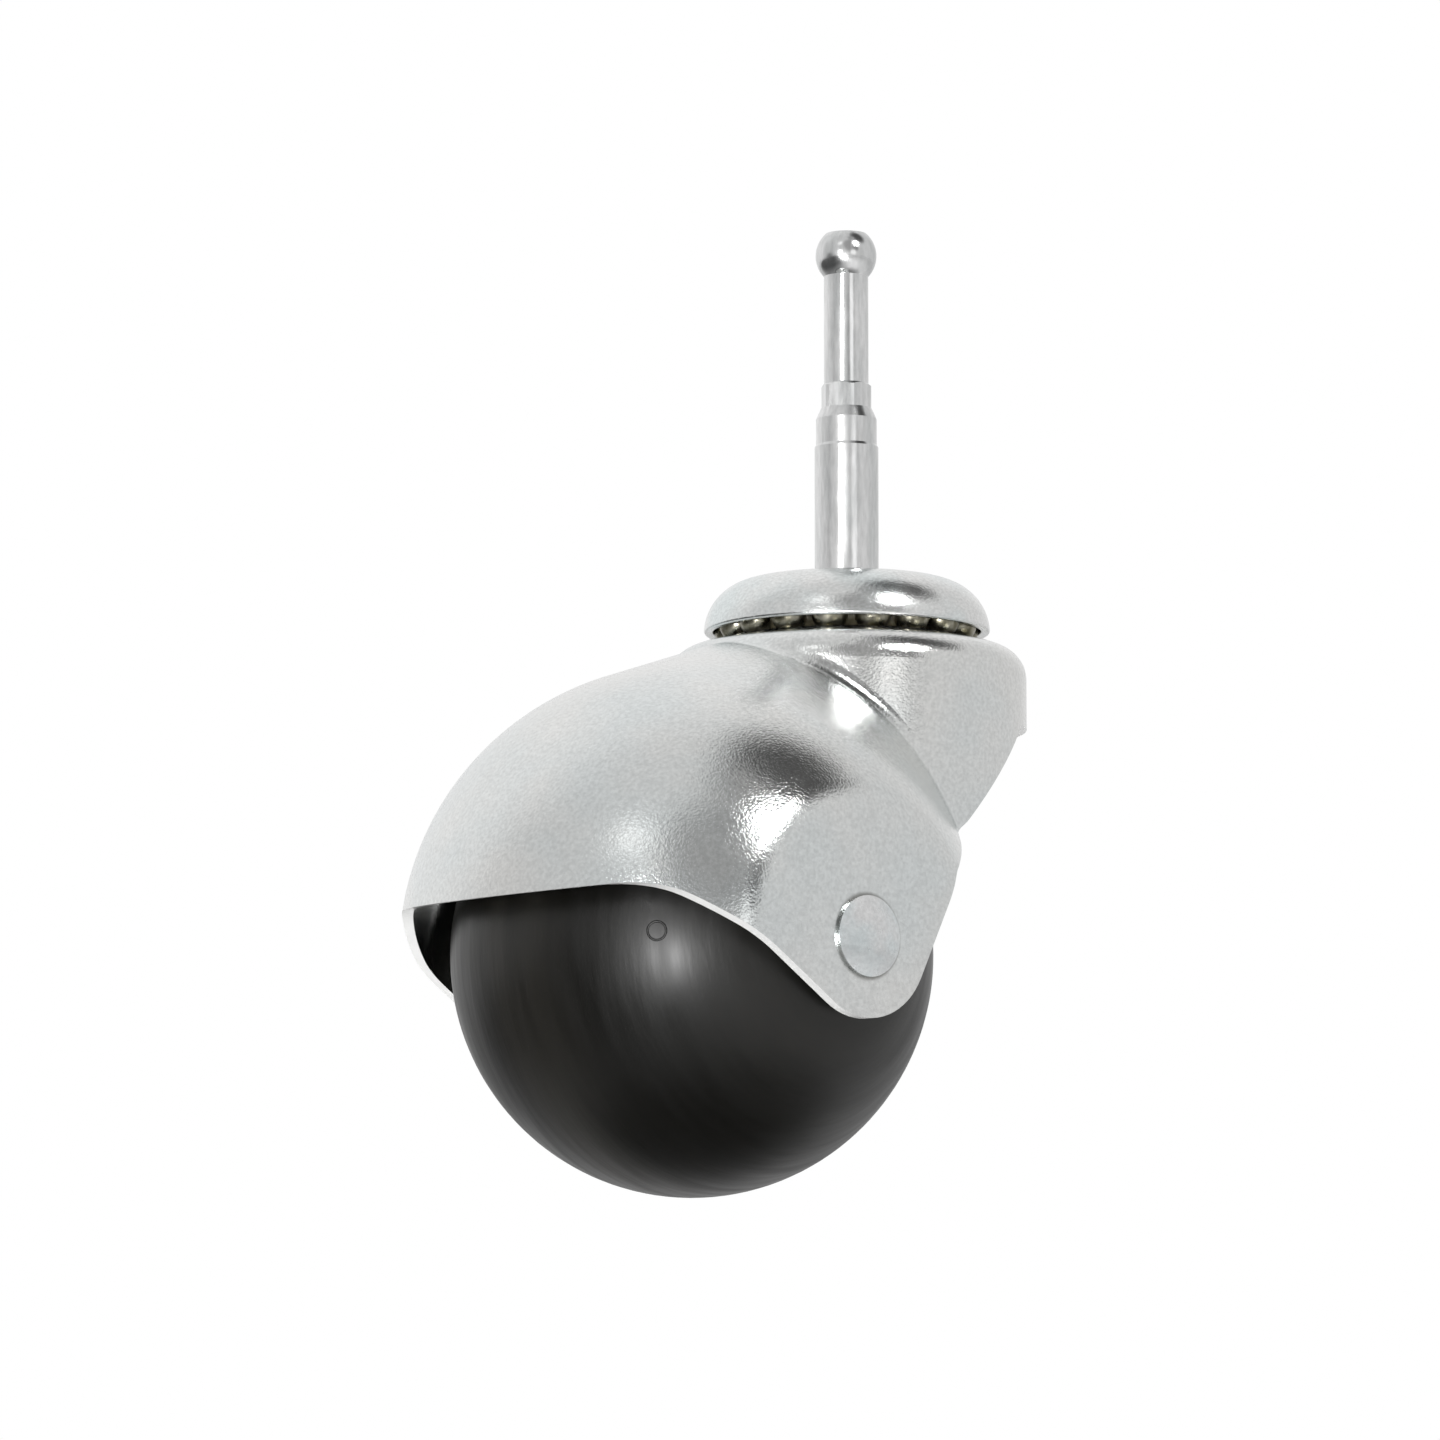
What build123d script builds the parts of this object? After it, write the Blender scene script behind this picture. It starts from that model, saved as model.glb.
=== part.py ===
from build123d import *
from math import acos, atan2, cos, degrees, hypot, radians, sin, sqrt, tan
import os

# Hooded ball caster with a push-in grip-neck stem.
# Frame: the stem is the Z axis, pointing up, and the origin lies on it in the plane of the
# cap's top, where the caster meets the leg of the furniture. The axle runs along Y, and the
# ball trails behind the stem at -X. Millimetres.

# Ball wheel and where its centre lies
ball_radius = 25.4
wheel_trail = 22.2
hub_radius = 5.5
hub_side_play = 0.2

# Hood: one drawn steel sheet
hood_sheet = 1.2
helmet_gap = 4.2
cheek_gap = 0.7
cheek_blend = 8.0
crown_drop = 3.9
crown_half_angle = 40.0
crown_meets = 45.0
crown_step = 0.5
horn_radius = 19.3
horn_shoulder = 3.5
valley_radius = 2.0
deck_drop = 7.3
deck_width = 0.9

# Trimmed lower edge of the hood, seen from the side, measured from the axle
ear_radius = 8.4
front_lip_height = 3.8
front_corner = (-22.6, 4.8)
back_corner = (13.3, 7.8)
throat_corner = (21.7, 14.2)
horn_corner = (32.6, 25.8)
front_corner_round = 8.0
back_corner_round = 4.0
throat_round = 2.5
horn_corner_round = 5.0

# Swivel cap, the upper race
cap_radius = 15.4
cap_sheet = 1.0
cap_shoulder = 5.7
cap_rim_round = 0.3
race_gap = 1.1

# Swivel bearing
bearing_ball_radius = 1.985
bearing_ball_count = 17
first_ball_angle = 7.2
race_groove_depth = 0.35
bearing_clearance = 0.05

# Stem
stem_length = 38.1
shank_radius = 3.45
shank_length = 14.6
relief_radius = 3.28
relief_top = 17.7
swage_radius = 2.75
swage_flats = 2.5
swage_bottom = 18.9
swage_top = 21.6
neck_radius = 2.4
bulb_radius = 3.3
bulb_height = 4.7
journal_radius = 3.0
journal_clearance = 0.08
tenon_radius = 2.3
edge_break = 0.3

# Thrust washer under the hood, held by the peened end of the stem
washer_radius = 9.0
washer_thickness = 1.5
washer_play = 0.05
peen_radius = 3.9
peen_height = 1.4

# Axle rivet and the sleeve that the ball turns on
axle_radius = 2.38
head_radius = 4.2
head_height = 1.0
head_edge = 0.35
formed_head_radius = 3.9
sleeve_radius = 3.5
sleeve_bore_clearance = 0.05
wheel_bore_clearance = 0.06

# Worked out from the sizes above
helmet_radius = ball_radius + helmet_gap + hood_sheet
mount_to_axle = helmet_radius + crown_drop + deck_drop
cheek_inner = ball_radius + cheek_gap
cheek_outer = cheek_inner + hood_sheet
pad_top = -(cap_shoulder + race_gap)
deck_top = -deck_drop
groove_radius = bearing_ball_radius + bearing_clearance
bearing_height = pad_top - race_groove_depth + groove_radius
shoulder_centre = cap_radius - cap_shoulder
foot_depth = shank_radius - journal_radius
bearing_reach = cap_shoulder - cap_sheet - groove_radius
bearing_circle = shoulder_centre + sqrt(bearing_reach**2 - (bearing_height + cap_shoulder) ** 2)
washer_top = pad_top - hood_sheet - washer_play
washer_bottom = washer_top - washer_thickness
crown_reach = wheel_trail - horn_radius + horn_shoulder * (1 - cos(radians(crown_meets)))
crown_rise = mount_to_axle + deck_top - horn_shoulder * (1 - sin(radians(crown_meets)))
crown_slope = degrees(
    atan2(crown_rise, crown_reach) + acos(helmet_radius / hypot(crown_reach, crown_rise))
) - 90
axle_place = Pos(-wheel_trail, 0, -mount_to_axle)
beyond = 2 * (helmet_radius + horn_radius)
snug = 0.01


def turned(*outline):
    """A solid of revolution about Z from an outline of (radius, height) lines and arcs."""
    with BuildPart() as solid:
        with BuildSketch(Plane.XZ):
            with BuildLine():
                for piece in outline:
                    add(piece)
            make_face()
        revolve(axis=Axis.Z)
    return solid.part


# Hood

def helmet(inset):
    """The round part of the hood over the ball, drawn up at a tangent to the horn's shoulder,
    with a flat cheek at each end of the axle."""
    radius = helmet_radius - inset
    cheek = cheek_outer - inset
    top = mount_to_axle + deck_top - inset - crown_step
    half = radians(crown_half_angle)
    touch = (radius * cos(half), radius * sin(half))
    crown = turned(
        ThreePointArc((0, -radius), (radius, 0), touch),
        Polyline(touch, (0, radius / sin(half)), (0, -radius)),
    )
    room = Pos(0, 0, top - beyond / 2) * Box(beyond, 2 * cheek, beyond)
    form = Rot(Y=90 - crown_half_angle - crown_slope) * crown & room
    rims = form.edges().filter_by(lambda edge: abs(abs(edge.center().Y) - cheek) < snug)
    return axle_place * fillet(rims, cheek_blend - inset)


def horn(inset):
    """The round tower about the stem: a raised race pad, a deck, a rounded shoulder, a wall."""
    radius = horn_radius - inset
    shoulder = horn_shoulder - inset
    deck = deck_top - inset
    pad = pad_top - inset
    step = pad_top - deck_top
    pad_foot = horn_radius - horn_shoulder - deck_width - inset * tan(radians(22.5))
    floor = -beyond
    return turned(
        Polyline((0, floor), (0, pad), (pad_foot - step, pad), (pad_foot, deck),
                 (radius - shoulder, deck)),
        RadiusArc((radius - shoulder, deck), (radius, deck - shoulder), shoulder),
        Polyline((radius, deck - shoulder), (radius, floor), (0, floor)),
    )


def hood_form(inset):
    """Helmet and horn run together in one skin, with the valley between them rounded."""
    form = helmet(inset) + horn(inset)
    tower = horn_radius - inset + snug
    crease = form.edges().filter_by(GeomType.BSPLINE).filter_by(
        lambda edge: hypot((edge @ 0.5).X, (edge @ 0.5).Y) < tower
    )
    return fillet(crease, valley_radius + inset)


def tangent_point(corner, side):
    """Where a straight edge from a corner touches the round of the ear."""
    x, z = corner
    reach = sqrt(x * x + z * z)
    angle = atan2(z, x) + side * acos(ear_radius / reach)
    return (ear_radius * cos(angle), ear_radius * sin(angle))


def trim_profile():
    """What is kept of the hood, seen from the side: lip, round ear, throat and horn."""
    front_touch = tangent_point(front_corner, 1)
    back_touch = tangent_point(back_corner, -1)
    with BuildSketch(Plane.XZ) as profile:
        with BuildLine():
            Polyline((-beyond, beyond), (-beyond, front_lip_height),
                     (-helmet_radius, front_lip_height), front_corner, front_touch)
            ThreePointArc(front_touch, (0, -ear_radius), back_touch)
            Polyline(back_touch, back_corner, throat_corner, horn_corner,
                     (beyond, horn_corner[1]), (beyond, beyond), (-beyond, beyond))
        make_face()
        for corner, radius in (
            (front_corner, front_corner_round),
            (back_corner, back_corner_round),
            (throat_corner, throat_round),
            (horn_corner, horn_corner_round),
        ):
            x, z = corner
            fillet(profile.vertices().sort_by_distance((x, 0, z))[0], radius)
    return profile.sketch


def hood():
    """The drawn and trimmed shell, with its race groove and its stem and axle holes."""
    shell = hood_form(0) - hood_form(hood_sheet)
    kept = axle_place * extrude(trim_profile(), beyond, both=True)
    axle_hole = axle_place * Rot(X=90) * Cylinder(axle_radius, 4 * cheek_outer)
    stem_hole = Pos(0, 0, pad_top) * Cylinder(journal_radius + journal_clearance, 8 * hood_sheet)
    groove = Pos(0, 0, bearing_height) * Torus(bearing_circle, groove_radius)
    return (shell & kept) - axle_hole - stem_hole - groove


# Swivel

def top_cap():
    """The domed upper race, a shallow pressed cup countersunk for the foot of the shank."""
    inner_shoulder = cap_shoulder - cap_sheet
    cap = turned(
        Line((shank_radius, 0), (shoulder_centre, 0)),
        RadiusArc((shoulder_centre, 0), (cap_radius, -cap_shoulder), cap_shoulder),
        Line((cap_radius, -cap_shoulder), (cap_radius - cap_sheet, -cap_shoulder)),
        RadiusArc((cap_radius - cap_sheet, -cap_shoulder), (shoulder_centre, -cap_sheet),
                  -inner_shoulder),
        Polyline((shoulder_centre, -cap_sheet), (journal_radius, -cap_sheet),
                 (journal_radius, -foot_depth), (shank_radius, 0)),
    )
    rim = cap.edges().filter_by(GeomType.CIRCLE).group_by(Axis.Z)[0]
    return fillet(rim, cap_rim_round)


def bearing_balls():
    """The ring of loose steel balls between the cap and the hood."""
    ball = Sphere(bearing_ball_radius)
    places = PolarLocations(bearing_circle, bearing_ball_count, start_angle=first_ball_angle)
    return Compound([Pos(0, 0, bearing_height) * place * ball for place in places])


def stem():
    """Bulb, slim neck, swaged collar, shank, journal and peened end, all one headed pin."""
    bulb_centre = stem_length - bulb_height + sqrt(bulb_radius**2 - neck_radius**2)
    bulb_flat = sqrt(bulb_radius**2 - (stem_length - bulb_centre) ** 2)
    bulb_waist = stem_length - bulb_height
    peen_bottom = washer_bottom - peen_height
    pin = turned(
        Polyline((0, peen_bottom), (tenon_radius, peen_bottom)),
        RadiusArc((tenon_radius, peen_bottom), (peen_radius, washer_bottom), -peen_radius),
        Polyline(
            (peen_radius, washer_bottom), (tenon_radius, washer_bottom),
            (tenon_radius, washer_top), (journal_radius, washer_top),
            (journal_radius, -foot_depth), (shank_radius, 0), (shank_radius, shank_length),
            (relief_radius, shank_length + edge_break), (relief_radius, relief_top),
            (swage_radius, swage_bottom), (swage_radius, swage_top - edge_break),
            (neck_radius, swage_top), (neck_radius, bulb_waist),
        ),
        ThreePointArc((neck_radius, bulb_waist), (bulb_radius, bulb_centre),
                      (bulb_flat, stem_length)),
        Polyline((bulb_flat, stem_length), (0, stem_length), (0, peen_bottom)),
    )
    return pin - swage_cut()


def swage_cut():
    """What the six swaged flats take off the round collar below the neck."""
    height = swage_top - swage_bottom
    ring = Cylinder(shank_radius, height) - extrude(
        RegularPolygon(swage_flats, 6, major_radius=False), height, both=True
    )
    return Pos(0, 0, swage_bottom + height / 2) * ring


def thrust_washer():
    """The washer that carries the hood when the caster hangs from its stem."""
    ring = Cylinder(washer_radius, washer_thickness) - Cylinder(tenon_radius, washer_thickness)
    rims = ring.edges().filter_by(GeomType.CIRCLE).group_by(SortBy.RADIUS)[-1]
    return Pos(0, 0, (washer_top + washer_bottom) / 2) * chamfer(rims, edge_break)


# Wheel and axle

def dome_radius(radius):
    """The spherical radius of a low domed rivet head that rises above its short edge."""
    rise = head_height - head_edge
    return (radius**2 + rise**2) / (2 * rise)


def axle_rivet():
    """The rivet through both cheeks: a wide domed head in front, a formed head behind."""
    front = cheek_outer
    behind = -cheek_outer
    rivet = turned(
        RadiusArc((0, front + head_height), (head_radius, front + head_edge),
                  dome_radius(head_radius)),
        Polyline((head_radius, front + head_edge), (head_radius, front), (axle_radius, front),
                 (axle_radius, behind), (formed_head_radius, behind),
                 (formed_head_radius, behind - head_edge)),
        RadiusArc((formed_head_radius, behind - head_edge), (0, behind - head_height),
                  dome_radius(formed_head_radius)),
        Line((0, behind - head_height), (0, front + head_height)),
    )
    return axle_place * Rot(X=90) * rivet


def axle_sleeve():
    """The tube between the cheeks, which keeps the riveting from pinching the ball."""
    length = 2 * cheek_inner
    tube = Cylinder(sleeve_radius, length) - Cylinder(
        axle_radius + sleeve_bore_clearance, length
    )
    return axle_place * Rot(X=90) * tube


def ball_wheel():
    """The moulded ball, with a low hub boss at each end of its bore."""
    hub_length = 2 * (cheek_inner - hub_side_play)
    hub = Cylinder(hub_radius, hub_length)
    hub = chamfer(hub.edges().filter_by(GeomType.CIRCLE), edge_break)
    bore = Cylinder(sleeve_radius + wheel_bore_clearance, hub_length)
    return axle_place * Rot(X=90) * (Sphere(ball_radius) + hub - bore)


pieces = {
    "stem": stem,
    "top_cap": top_cap,
    "bearing_balls": bearing_balls,
    "hood": hood,
    "thrust_washer": thrust_washer,
    "axle_rivet": axle_rivet,
    "axle_sleeve": axle_sleeve,
    "ball_wheel": ball_wheel,
}

os.makedirs("parts", exist_ok=True)
for name, make in pieces.items():
    export_step(make(), f"parts/{name}.step")
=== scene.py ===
# %% [markdown]
# # Dressing a hooded ball caster
# A furniture caster hangs from its push-in stem: a black ball under a bright zinc hood.
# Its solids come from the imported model, so every shape and size is already right, and this
# lesson is about looks. Bright zinc has hardly any colour of its own. What the eye reads as
# metal is what the metal mirrors, so the surroundings are built as carefully as the finishes.

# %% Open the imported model
from math import cos, radians, sin

import bpy
from mathutils import Matrix, Vector


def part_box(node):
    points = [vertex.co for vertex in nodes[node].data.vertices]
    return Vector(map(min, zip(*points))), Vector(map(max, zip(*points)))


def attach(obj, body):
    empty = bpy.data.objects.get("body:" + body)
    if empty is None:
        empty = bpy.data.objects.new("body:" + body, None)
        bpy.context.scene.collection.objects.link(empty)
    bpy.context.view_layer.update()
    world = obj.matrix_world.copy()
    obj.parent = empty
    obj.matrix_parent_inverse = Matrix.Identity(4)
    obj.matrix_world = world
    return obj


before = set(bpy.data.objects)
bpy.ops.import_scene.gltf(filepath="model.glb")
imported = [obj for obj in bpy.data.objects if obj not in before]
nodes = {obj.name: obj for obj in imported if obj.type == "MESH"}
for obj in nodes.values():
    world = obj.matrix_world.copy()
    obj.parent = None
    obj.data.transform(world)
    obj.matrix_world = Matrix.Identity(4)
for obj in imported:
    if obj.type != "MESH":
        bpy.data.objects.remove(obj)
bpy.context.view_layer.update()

print("solids:", ", ".join(sorted(nodes)))

# %% [markdown]
# ## Sizes that the looks share
# The stem is the Z axis and the origin is on the cap's flat top. The axle lies below it and
# trails to -X, and the ball turns round it. Everything that is placed here is placed from
# these few numbers, in metres, read off the solids where a solid has them.

# %% Where things are
MM = 0.001
axle_low, axle_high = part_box("axle_rivet")
axle_centre = (axle_low + axle_high) / 2
ball_centre = axle_centre
bearing_low, bearing_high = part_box("bearing_balls")
bearing_height = (bearing_high.z + bearing_low.z) / 2
bearing_reach = max(bearing_high.x, -bearing_low.x)
print("axle at", [round(v / MM, 2) for v in axle_centre], "mm")
print("bearing balls reach", round(bearing_reach / MM, 2), "mm from the stem's axis")

# %% [markdown]
# ## Camera
# The photograph looks up at the caster from about 41.5 degrees to the side and 7.5 degrees
# below the level, through a long lens from about 0.8 m. A camera needs a place, a direction
# and a lens. The direction is written as three axes (right, up, back), which is easier to
# check than three angles, and the small shift to the side keeps the caster off centre as in
# the photograph.

# %% Set up the camera
view_side = radians(-41.5)
view_tilt = radians(-7.5)
view_distance = 0.800
framing_right = 0.002965
framing_up = 0.02482
view_back = Vector((sin(view_side) * cos(view_tilt), -cos(view_side) * cos(view_tilt),
                    sin(view_tilt)))
view_right = Vector((cos(view_side), sin(view_side), 0))
view_up = view_back.cross(view_right)

bpy.ops.object.select_all(action="DESELECT")
bpy.ops.object.camera_add()
camera = bpy.context.object
camera.name = "photo_camera"
camera.data.lens = 190.2
camera.data.sensor_width = 36
place = (axle_centre + view_back * view_distance + view_right * framing_right
         + view_up * framing_up)
axes = Matrix((view_right, view_up, view_back)).transposed().to_4x4()
camera.matrix_world = Matrix.Translation(place) @ axes
camera.data.clip_start = 0.01
bpy.context.scene.camera = camera
bpy.context.scene.view_settings.view_transform = "Standard"
print("camera at", [round(v, 4) for v in place])

# %% [markdown]
# ## One node a step
# A material is a chain of small steps: measure something, turn the measure into a mask,
# blend two colours by the mask. Each step is one node with its sockets filled in, so a few
# short helpers keep the recipes below readable. Every helper takes plain values or another
# step's output, and hands on its own output.

# %% Helpers: one node a step
def fill(tree, socket, value):
    """Links another step's output into the socket, or sets the socket to a plain value."""
    if isinstance(value, bpy.types.NodeSocket):
        tree.links.new(value, socket)
    else:
        socket.default_value = value


def calculate(tree, operation, *values):
    """A Math node's result."""
    step = tree.nodes.new("ShaderNodeMath")
    step.operation = operation
    for socket, value in zip(step.inputs, values):
        fill(tree, socket, value)
    return step.outputs["Value"]


def vector_step(tree, operation, *values, answer="Value"):
    """A Vector Math node's result: its number, or with answer="Vector" its vector."""
    step = tree.nodes.new("ShaderNodeVectorMath")
    step.operation = operation
    for socket, value in zip(step.inputs, values):
        fill(tree, socket, value)
    return step.outputs[answer]


def remap(tree, value, start, end, first=0.0, last=1.0, soft=True):
    """A Map Range node: `first` up to `start`, `last` from `end` on, a slope between."""
    step = tree.nodes.new("ShaderNodeMapRange")
    if soft:
        step.interpolation_type = "SMOOTHSTEP"
    for label, setting in (("Value", value), ("From Min", start), ("From Max", end),
                           ("To Min", first), ("To Max", last)):
        fill(tree, step.inputs[label], setting)
    return step.outputs["Result"]


def blend(tree, share, first, second, kind="RGBA"):
    """A Mix node: `first` at a share of 0 and `second` at a share of 1."""
    step = tree.nodes.new("ShaderNodeMix")
    step.data_type = kind
    first_socket, second_socket, out = {"FLOAT": (2, 3, 0), "RGBA": (6, 7, 2)}[kind]
    fill(tree, step.inputs[0], share)
    fill(tree, step.inputs[first_socket], first)
    fill(tree, step.inputs[second_socket], second)
    return step.outputs[out]


# %% [markdown]
# ## Floor
# The caster can't stand in its own frame, so it hangs by its stem a hand's width above a
# plain pale floor. The floor is seen only from above. From below it has to get out of the
# way, and a Backfacing test does that without knowing where the camera is. Right beneath the
# caster, and far off on one side, its mirror image is painted dark, as in the photograph,
# where the black ball mirrors hardly any light from below. This is painted shade that only
# mirrored rays see.

# %% Lay the floor
floor_height = -0.25
bpy.ops.object.select_all(action="DESELECT")
bpy.ops.mesh.primitive_plane_add(size=8, location=(0, 0, floor_height))
floor = bpy.context.object
floor.name = "floor"
bpy.ops.object.transform_apply(location=True, rotation=True, scale=True)
print("floor at", floor_height, "m")

# %% Paint the floor
pale = (0.88, 0.88, 0.88, 1)
# Painted shade: mirrored rays see this dark grey on the floor beneath the caster and far off
# on one side.
mirrored_shade_grey = (0.05, 0.05, 0.05, 1)
shade_aside_point = (-1.6, 0.55, floor_height)
floor_paint = bpy.data.materials.new("pale_floor")
floor_paint.use_nodes = True
tree = floor_paint.node_tree
shader = tree.nodes["Principled BSDF"]
shader.inputs["Roughness"].default_value = 0.7
surface = tree.nodes.new("ShaderNodeNewGeometry")
position = surface.outputs["Position"]
# Where the painted shade lies: near the spot under the caster, and near a point far off on
# one side.
beneath = remap(tree, vector_step(tree, "LENGTH", position), 0.37, 0.26)
aside = remap(tree, vector_step(tree, "DISTANCE", position, shade_aside_point), 1.8, 1.3)
ray = tree.nodes.new("ShaderNodeLightPath")
painted_shade_share = calculate(tree, "MULTIPLY", calculate(tree, "MAXIMUM", beneath, aside),
                       ray.outputs["Is Glossy Ray"])
fill(tree, shader.inputs["Base Color"], blend(tree, painted_shade_share, pale, mirrored_shade_grey))
unseen = tree.nodes.new("ShaderNodeBsdfTransparent")
either = tree.nodes.new("ShaderNodeMixShader")
tree.links.new(surface.outputs["Backfacing"], either.inputs["Fac"])
tree.links.new(shader.outputs["BSDF"], either.inputs[1])
tree.links.new(unseen.outputs["BSDF"], either.inputs[2])
tree.links.new(either.outputs["Shader"], tree.nodes["Material Output"].inputs["Surface"])
floor.data.materials.append(floor_paint)
print("floor wears", floor_paint.name)

# %% [markdown]
# ## Light tent
# Small bright parts are photographed in a tent of white cloth, so that they mirror white all
# round. A perfectly even tent would make zinc look like grey paint, though. The photograph
# shows what breaks it up: a paler wall behind the caster, a greyer one on the left, a dark
# opening high up on the right with a grey panel beside it, and near the camera a few small
# spots, bright and dark. Each is a soft round patch on the sky, given by its compass bearing
# (0 is +Y, 90 is +X), its height and its size in degrees. The camera itself sees plain white.

# %% Helpers for the sky
def bearing(compass, height):
    """The direction with that compass bearing and height above the level, in degrees."""
    a, h = radians(compass), radians(height)
    return Vector((sin(a) * cos(h), cos(a) * cos(h), sin(h)))


def sky_patch(tree, sky, below, compass, height, core, edge, brightness):
    """Blends a round patch of another brightness over what the sky has so far."""
    towards = vector_step(tree, "DOT_PRODUCT", sky, bearing(compass, height))
    share = remap(tree, towards, cos(radians(edge)), cos(radians(core)))
    return blend(tree, share, below, brightness, kind="FLOAT")


# %% Hang the tent
tent = bpy.data.worlds.new("light_tent")
tent.use_nodes = True
bpy.context.scene.world = tent
tree = tent.node_tree
sky = tree.nodes.new("ShaderNodeTexCoord").outputs["Generated"]
sky_patches = (
    dict(compass=15, height=35, core=20, edge=65, brightness=0.90),
    dict(compass=-80, height=20, core=15, edge=40, brightness=0.66),
    dict(compass=-157, height=32, core=18, edge=31, brightness=0.36),
    dict(compass=146, height=59, core=12, edge=26, brightness=0.08),
    dict(compass=-172, height=62, core=5, edge=13, brightness=0.35),
    dict(compass=-176, height=21, core=6, edge=12, brightness=0.10),
    dict(compass=-111, height=40, core=3, edge=9, brightness=1.35),
    dict(compass=-166, height=6, core=6, edge=13, brightness=1.15),
    dict(compass=-72, height=-6, core=8, edge=16, brightness=0.12),
)
cloth = 0.70
for patch in sky_patches:
    cloth = sky_patch(tree, sky, cloth, **patch)
background = tree.nodes["Background"]
fill(tree, background.inputs["Color"], cloth)
plain_white = tree.nodes.new("ShaderNodeBackground")
plain_white.inputs["Color"].default_value = (1, 1, 1, 1)
ray = tree.nodes.new("ShaderNodeLightPath")
seen = tree.nodes.new("ShaderNodeMixShader")
tree.links.new(ray.outputs["Is Camera Ray"], seen.inputs["Fac"])
tree.links.new(background.outputs["Background"], seen.inputs[1])
tree.links.new(plain_white.outputs["Background"], seen.inputs[2])
tree.links.new(seen.outputs["Shader"], tree.nodes["World Output"].inputs["Surface"])
print("tent hung with", len(sky_patches), "patches")

# %% [markdown]
# ## Lamps
# Two lamps give the crisp white marks: a small one high on the right, whose image sits on
# the cheek, the cap and the crease, and a tall soft box to the left of the camera, whose
# image is the long line down the stem. A third, low beside the camera, gives the black ball
# its one soft highlight. A lamp's image on the metal is as large as the lamp looks from the
# caster, so their sizes matter more than their power.

# %% Hang the lamps
def soft_box(name, compass, height, width, tall, power, distance=1.0):
    """A rectangular lamp in that direction, facing the caster."""
    direction = bearing(compass, height)
    bpy.ops.object.select_all(action="DESELECT")
    bpy.ops.object.light_add(type="AREA", location=direction * distance)
    lamp = bpy.context.object
    lamp.name = name
    lamp.data.shape = "RECTANGLE"
    lamp.data.size = width
    lamp.data.size_y = tall
    lamp.data.energy = power
    lamp.rotation_mode = "QUATERNION"
    lamp.rotation_quaternion = direction.to_track_quat("Z", "Y")


soft_box("small_lamp", compass=178, height=40.5, width=0.28, tall=0.25, power=2.2)
soft_box("tall_soft_box", compass=-117, height=5, width=0.22, tall=0.34, power=1.0)
soft_box("front_lamp", compass=-127, height=-8, width=0.26, tall=0.12, power=6.5)

# %% [markdown]
# ## What all the finishes share
# Zinc plate, drawn wire and moulded plastic all need two things: a slow drift of tone across
# the piece, and a fine grain that roughens what it mirrors. Both are made once, as node
# groups that read the piece's own coordinates, and each finish then sets its own sizes. The
# groups hand out colours, masks and heights only. The shader stays in the material.

# %% Helpers for node groups
def new_group(name, inputs, outputs):
    """A shader node group with named sockets. Returns it and its two end nodes."""
    group = bpy.data.node_groups.new(name, "ShaderNodeTree")
    for label, kind, value in inputs:
        made = group.interface.new_socket(label, in_out="INPUT", socket_type=kind)
        if value is not None:
            made.default_value = value
    for label, kind in outputs:
        group.interface.new_socket(label, in_out="OUTPUT", socket_type=kind)
    return group, group.nodes.new("NodeGroupInput"), group.nodes.new("NodeGroupOutput")


def noise(group, coordinates, scale, detail):
    """A noise texture that reads those coordinates."""
    texture = group.nodes.new("ShaderNodeTexNoise")
    fill(group, texture.inputs["Vector"], coordinates)
    fill(group, texture.inputs["Scale"], scale)
    fill(group, texture.inputs["Detail"], detail)
    return texture.outputs["Fac"]


# %% Group: a slow drift between two colours, and fine specks
tone_drift, given, handed_out = new_group(
    "tone_drift",
    [("Coordinates", "NodeSocketVector", None), ("Cloud Scale", "NodeSocketFloat", 90.0),
     ("Speck Scale", "NodeSocketFloat", 2400.0),
     ("Plain", "NodeSocketColor", (0.8, 0.8, 0.8, 1)),
     ("Tint", "NodeSocketColor", (0.7, 0.8, 0.8, 1))],
    [("Color", "NodeSocketColor"), ("Cloud", "NodeSocketFloat")],
)
given = given.outputs
cloud = remap(tone_drift,
              noise(tone_drift, given["Coordinates"], given["Cloud Scale"], detail=3),
              0.35, 0.68)
drifting = blend(tone_drift, cloud, given["Plain"], given["Tint"])
speck = remap(tone_drift,
              noise(tone_drift, given["Coordinates"], given["Speck Scale"], detail=2),
              0.3, 0.7, first=0.90, last=1.07, soft=False)
speckled = tone_drift.nodes.new("ShaderNodeVectorMath")
speckled.operation = "SCALE"
fill(tone_drift, speckled.inputs[0], drifting)
fill(tone_drift, speckled.inputs["Scale"], speck)
fill(tone_drift, handed_out.inputs["Color"], speckled.outputs["Vector"])
fill(tone_drift, handed_out.inputs["Cloud"], cloud)
print("group:", tone_drift.name)

# %% Group: grain, as a height and a roughness
surface_grain, given, handed_out = new_group(
    "surface_grain",
    [("Coordinates", "NodeSocketVector", None), ("Grain Scale", "NodeSocketFloat", 2800.0),
     ("Wave Scale", "NodeSocketFloat", 260.0), ("Wave Share", "NodeSocketFloat", 3.0),
     ("Smooth", "NodeSocketFloat", 0.15), ("Rough", "NodeSocketFloat", 0.3)],
    [("Height", "NodeSocketFloat"), ("Roughness", "NodeSocketFloat")],
)
given = given.outputs
grain = noise(surface_grain, given["Coordinates"], given["Grain Scale"], detail=2)
wave = noise(surface_grain, given["Coordinates"], given["Wave Scale"], detail=1)
fill(surface_grain, handed_out.inputs["Height"],
     calculate(surface_grain, "MULTIPLY_ADD", wave, given["Wave Share"], grain))
fill(surface_grain, handed_out.inputs["Roughness"],
     remap(surface_grain, wave, 0.3, 0.7, given["Smooth"], given["Rough"], soft=False))
print("group:", surface_grain.name)

# %% [markdown]
# ## A finish from the groups
# Every finish starts the same way: the piece's own coordinates go through a Mapping node,
# into the two groups, and from there to the shader's colour, roughness and normal. The
# Mapping node is where a grain gets its direction. Stretched along Z it turns into the drawn
# lines of a pin, and left alone it is the even sparkle of plated sheet.

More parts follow.
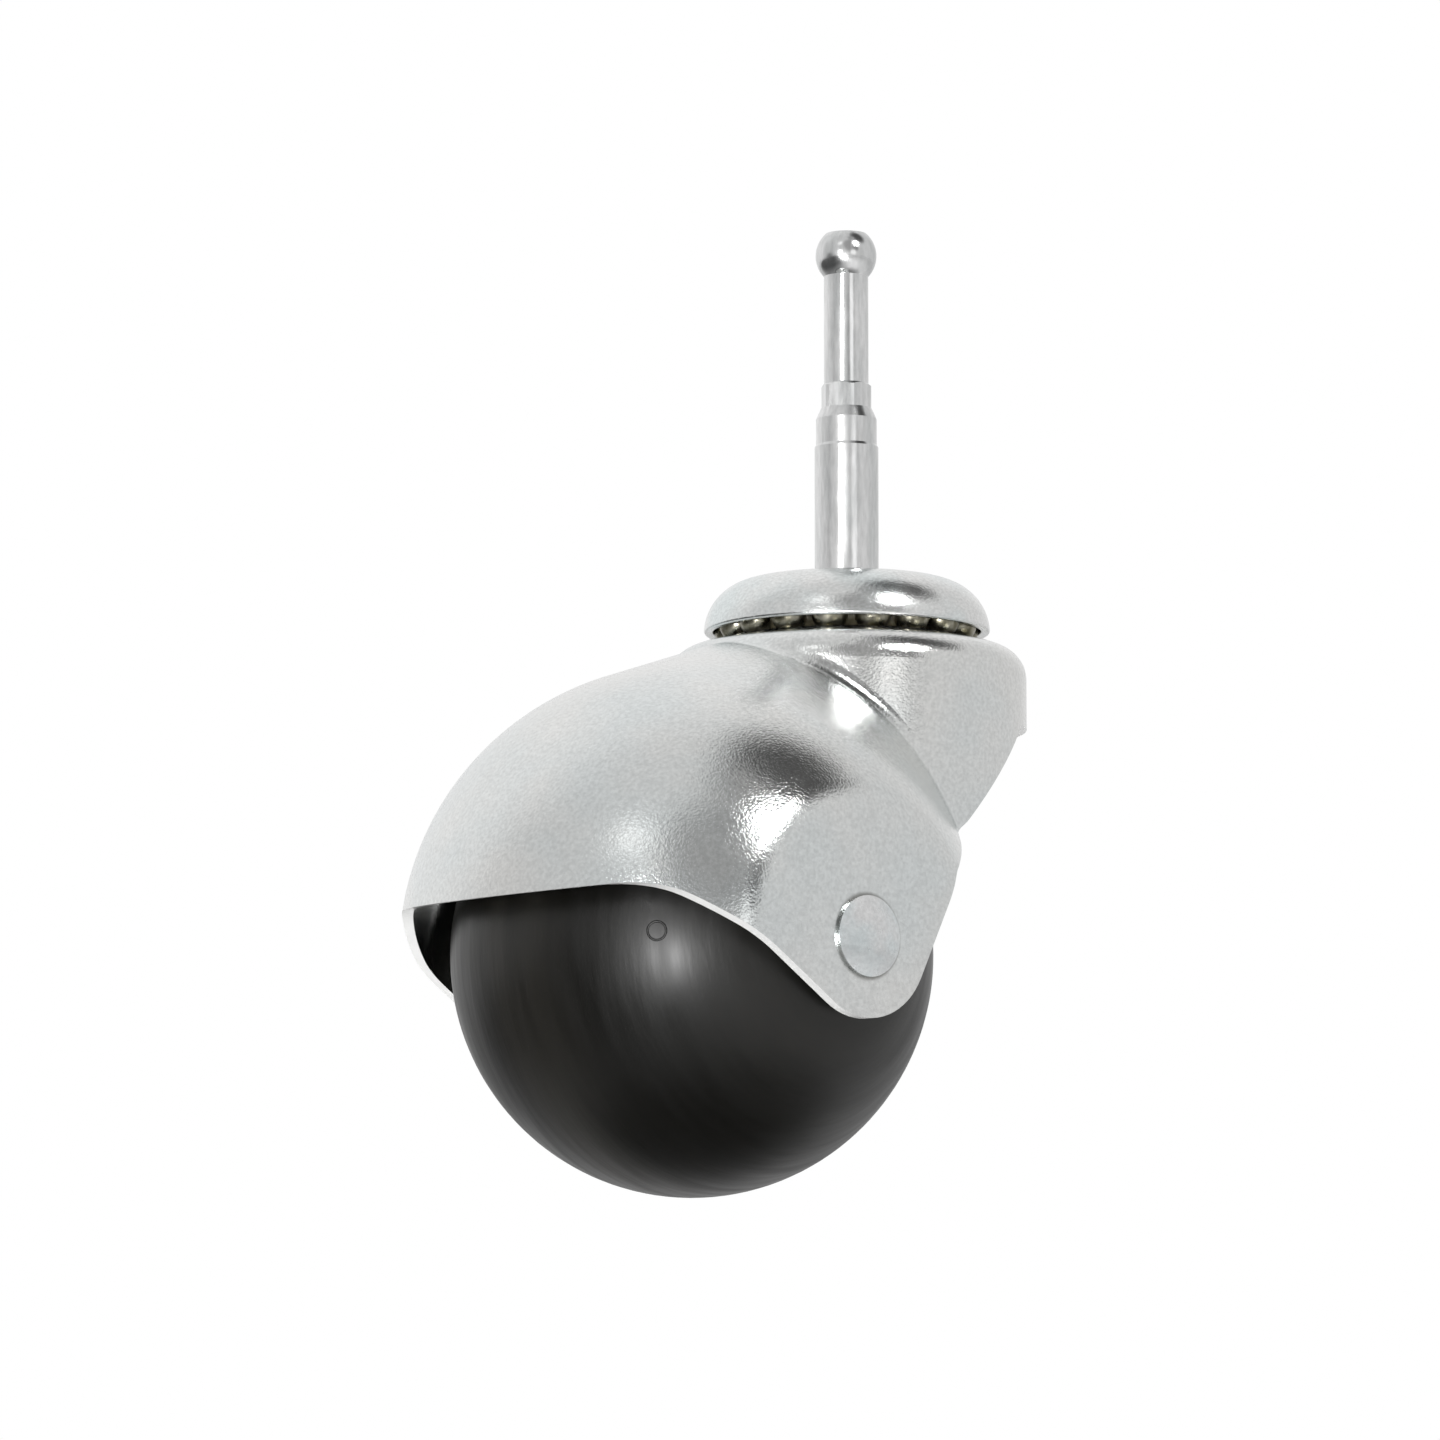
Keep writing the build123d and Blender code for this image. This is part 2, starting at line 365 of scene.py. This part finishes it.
# %% Helpers: a finish, and how a piece puts it on
def finish(name, plain, tint, smooth, rough, metallic=1.0, cloud=90.0, grain=2800.0,
           wave=260.0, wave_share=3.0, depth=0.004, stretch=(1, 1, 1), centre=(0, 0, 0)):
    """A material whose tone and grain come from the two groups. Returns it and its parts."""
    made = bpy.data.materials.new(name)
    made.use_nodes = True
    tree = made.node_tree
    shader = tree.nodes["Principled BSDF"]
    own = tree.nodes.new("ShaderNodeTexCoord")
    turn = tree.nodes.new("ShaderNodeMapping")
    turn.inputs["Location"].default_value = [-c * s for c, s in zip(centre, stretch)]
    turn.inputs["Scale"].default_value = stretch
    tree.links.new(own.outputs["Object"], turn.inputs["Vector"])
    tone = tree.nodes.new("ShaderNodeGroup")
    tone.node_tree = tone_drift
    for label, value in (("Coordinates", turn.outputs["Vector"]), ("Cloud Scale", cloud),
                         ("Plain", (*plain, 1)), ("Tint", (*tint, 1))):
        fill(tree, tone.inputs[label], value)
    skin = tree.nodes.new("ShaderNodeGroup")
    skin.node_tree = surface_grain
    for label, value in (("Coordinates", turn.outputs["Vector"]), ("Grain Scale", grain),
                         ("Wave Scale", wave), ("Wave Share", wave_share),
                         ("Smooth", smooth), ("Rough", rough)):
        fill(tree, skin.inputs[label], value)
    bump = tree.nodes.new("ShaderNodeBump")
    bump.inputs["Strength"].default_value = 1.0
    bump.inputs["Distance"].default_value = depth * MM
    tree.links.new(skin.outputs["Height"], bump.inputs["Height"])
    tree.links.new(tone.outputs["Color"], shader.inputs["Base Color"])
    tree.links.new(skin.outputs["Roughness"], shader.inputs["Roughness"])
    tree.links.new(bump.outputs["Normal"], shader.inputs["Normal"])
    shader.inputs["Metallic"].default_value = metallic
    return made, dict(tree=tree, shader=shader, own=own.outputs, tone=tone.outputs)


def put_on(node, material):
    """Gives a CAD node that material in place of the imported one."""
    nodes[node].data.materials.clear()
    nodes[node].data.materials.append(material)
    print(node, "wears", material.name)


# %% [markdown]
# ## Bright zinc on the hood
# The hood is drawn from sheet and plated. Drawing leaves slow waves in the skin, and the
# plate has a fine grain that breaks the edge of every reflection into specks. Its colour is
# a light grey that drifts towards blue, as clear passivated zinc does. Two places differ.
# The sheared edge of the sheet is duller, and painted paler as a highlight: the thin bright
# line that the edge catches. It is found by its normal, which points down and not sideways.
# Round the rivet's head lies a thin ring of painted shade, dark brown, where the head meets
# the cheek.

# %% The hood's zinc
hood_zinc, parts = finish("hood_zinc", plain=(0.80, 0.80, 0.785),
                          tint=(0.735, 0.765, 0.765), smooth=0.11, rough=0.18, cloud=55,
                          grain=4000, wave=240, wave_share=0.8, depth=0.030)
tree, shader = parts["tree"], parts["shader"]
put_on("hood", hood_zinc)

# %% Masks: the edge's painted highlight, and the painted shade round the rivet's head
facing = tree.nodes.new("ShaderNodeSeparateXYZ")
fill(tree, facing.inputs["Vector"], parts["own"]["Normal"])
not_sideways = remap(tree, calculate(tree, "ABSOLUTE", facing.outputs["Y"]), 0.06, 0.02,
                     soft=False)
downwards = remap(tree, facing.outputs["Z"], -0.05, -0.15, soft=False)
sheared_dull_and_highlit = calculate(tree, "MULTIPLY", not_sideways, downwards)

# Painted shade: a dark brown ring round the rivet's head, where the head meets the cheek.
rivet_shade_outer, rivet_shade_inner = 4.75 * MM, 4.25 * MM
from_axle = vector_step(tree, "MULTIPLY_ADD", parts["own"]["Object"], (1, 0, 1),
                        (-axle_centre.x, 0, -axle_centre.z), answer="Vector")
rivet_shade = remap(tree, vector_step(tree, "LENGTH", from_axle), rivet_shade_outer, rivet_shade_inner, last=0.75)
print("oil out to", round(rivet_shade_outer / MM, 2), "mm from the axle")

# %% Blend the painted shade and the edge's painted highlight over the zinc
# The brown is painted shade round the rivet's head, and the pale grey is the sheared edge's
# painted highlight.
rivet_shade_brown = (0.16, 0.155, 0.14, 1)
sheared_highlight_grey = (0.90, 0.90, 0.89, 1)
zinc_with_rivet_shade = blend(tree, rivet_shade, parts["tone"]["Color"], rivet_shade_brown)
fill(tree, shader.inputs["Base Color"], blend(tree, sheared_dull_and_highlit, zinc_with_rivet_shade, sheared_highlight_grey))
fill(tree, shader.inputs["Metallic"],
     remap(tree, sheared_dull_and_highlit, 0.0, 1.0, first=1.0, last=0.15, soft=False))
print("hood_zinc has", len(tree.nodes), "nodes")

# %% [markdown]
# ## Bright zinc on the cap, the rivet and the washer
# The cap is pressed and tumbled smooth, so its reflections are the cleanest. The rivet's
# head carries the fine marks of the riveting tool, and the washer underneath is dull.

# %% Zinc on the small pieces
cap_zinc, _ = finish("cap_zinc", plain=(0.82, 0.82, 0.81), tint=(0.74, 0.79, 0.79),
                     smooth=0.16, rough=0.25, cloud=80, grain=3000, wave=300,
                     wave_share=0.8, depth=0.020, stretch=(1, 1, 1.6))
rivet_zinc, _ = finish("rivet_zinc", plain=(0.80, 0.80, 0.80), tint=(0.72, 0.77, 0.78),
                       smooth=0.15, rough=0.30, cloud=200, grain=3400, wave=600,
                       wave_share=2.0, depth=0.004, centre=axle_centre)
washer_zinc, _ = finish("washer_zinc", plain=(0.66, 0.66, 0.65), tint=(0.56, 0.58, 0.58),
                        smooth=0.28, rough=0.42, cloud=150, depth=0.004)
put_on("top_cap", cap_zinc)
put_on("axle_rivet", rivet_zinc)
put_on("thrust_washer", washer_zinc)

# %% [markdown]
# ## The drawn stem
# The stem is headed from wire. Its surface has lines along its length, so the same grain is
# squeezed along Z, and the white image of the soft box breaks up into a ragged stripe. The
# sleeve inside is plain drawn tube, with its lines along the axle.

# %% The stem's zinc and the plain sleeve
stem_zinc, _ = finish("stem_zinc", plain=(0.80, 0.80, 0.80), tint=(0.66, 0.67, 0.67),
                      smooth=0.12, rough=0.24, cloud=420, grain=2400, wave=650,
                      wave_share=3.0, depth=0.006, stretch=(1, 1, 0.22))
plain_tube, _ = finish("plain_tube", plain=(0.60, 0.60, 0.60), tint=(0.52, 0.52, 0.52),
                       smooth=0.25, rough=0.4, stretch=(1, 0.2, 1), depth=0.004)
put_on("stem", stem_zinc)
put_on("axle_sleeve", plain_tube)

# %% [markdown]
# ## Bearing balls under grease
# The balls in the gap are hard steel, but a film of brown grease dulls them to olive. The
# drift between two colours does the film: bare steel where the grease has rubbed off.

# %% Greasy steel
greasy_steel, _ = finish("greasy_steel", plain=(0.42, 0.40, 0.33),
                         tint=(0.13, 0.12, 0.075), smooth=0.18, rough=0.42, cloud=650,
                         grain=3000, wave=900, wave_share=2, depth=0.006)
put_on("bearing_balls", greasy_steel)

# %% [markdown]
# ## The black ball
# The ball is moulded from a hard black plastic with a satin skin. Two things show that it is
# not just black paint. Rolling has drawn fine streaks round it, so its grain is squeezed to a
# long shape in the plane that the ball rolls in, and it has left a paler, dusty track round
# the middle, which is a mask worked out from the distance to the middle plane.

# %% Black moulded plastic
black_plastic, parts = finish("black_plastic", plain=(0.0032, 0.0030, 0.0023),
                              tint=(0.0065, 0.0060, 0.0048), smooth=0.32, rough=0.42,
                              metallic=0.0, cloud=150, grain=2600, wave=700,
                              wave_share=1.5, depth=0.012, stretch=(0.12, 1, 0.12),
                              centre=ball_centre)
tree, shader = parts["tree"], parts["shader"]
shader.inputs["Specular IOR Level"].default_value = 0.40
put_on("ball_wheel", black_plastic)

# %% Dust in the track
track_edge, track_core = 11 * MM, 2 * MM
dust = (0.013, 0.012, 0.010, 1)
across = tree.nodes.new("ShaderNodeSeparateXYZ")
fill(tree, across.inputs["Vector"], parts["own"]["Object"])
off_middle = calculate(tree, "ABSOLUTE", across.outputs["Y"])
worn = calculate(tree, "MULTIPLY", remap(tree, off_middle, track_edge, track_core),
                 parts["tone"]["Cloud"])
fill(tree, shader.inputs["Base Color"], blend(tree, worn, parts["tone"]["Color"], dust))
print("track", round(2 * track_edge / MM), "mm wide, with soft edges")

# %% [markdown]
# ## The gate mark
# Where the plastic was let into the mould, a ring 2 mm across stands a few hundredths of a
# millimetre proud of the ball. A thin torus, set mostly into the skin and turned to face
# outwards, is all it takes, and it rolls with the ball.

# %% Raise the gate mark
outwards = Vector((-0.762, -0.654, 0.003)).normalized()
gate_place = ball_centre + outwards * 25.26 * MM
bpy.ops.object.select_all(action="DESELECT")
bpy.ops.mesh.primitive_torus_add(
    major_radius=0.95 * MM, minor_radius=0.17 * MM, major_segments=48, minor_segments=24,
    location=gate_place, rotation=outwards.to_track_quat("Z", "Y").to_euler())
gate_mark = bpy.context.object
gate_mark.name = "gate_mark"
bpy.ops.object.transform_apply(location=True, rotation=True, scale=True)
bpy.ops.object.shade_smooth()
gate_mark.data.materials.append(black_plastic)
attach(gate_mark, "wheel")
print("gate mark on the ball at", [round(v / MM, 1) for v in gate_place], "mm")

# %% [markdown]
# ## Grease in the race
# Behind the bearing balls the gap is packed with dark grease, which is why no light comes
# through it. A torus is the start: its ring is laid just inside the circle of the balls, and
# a noise displacement makes it lumpy. It goes round with the balls.

# %% Pack the grease
grease_circle = bearing_reach - 3.6 * MM
grease_height = bearing_height - 0.15 * MM
bpy.ops.object.select_all(action="DESELECT")
bpy.ops.mesh.primitive_torus_add(
    major_radius=grease_circle, minor_radius=1.35 * MM, major_segments=120,
    minor_segments=16, location=(0, 0, grease_height))
grease = bpy.context.object
grease.name = "race_grease"
bpy.ops.object.transform_apply(location=True, rotation=True, scale=True)
lumps = bpy.data.textures.new("grease_lumps", "CLOUDS")
lumps.noise_scale = 2.2 * MM
rough_up = grease.modifiers.new("lumps", "DISPLACE")
rough_up.texture = lumps
rough_up.texture_coords = "LOCAL"
rough_up.strength = 0.5 * MM
bpy.ops.object.modifier_apply(modifier=rough_up.name)
bpy.ops.object.shade_smooth()
dark_grease, _ = finish("dark_grease", plain=(0.035, 0.030, 0.019),
                        tint=(0.08, 0.072, 0.045), smooth=0.18, rough=0.4, metallic=0.0,
                        cloud=500, grain=1500, wave=700, wave_share=2, depth=0.02)
grease.data.materials.append(dark_grease)
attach(grease, "bearing")
print("grease ring", round(grease_circle / MM, 2), "mm in radius")
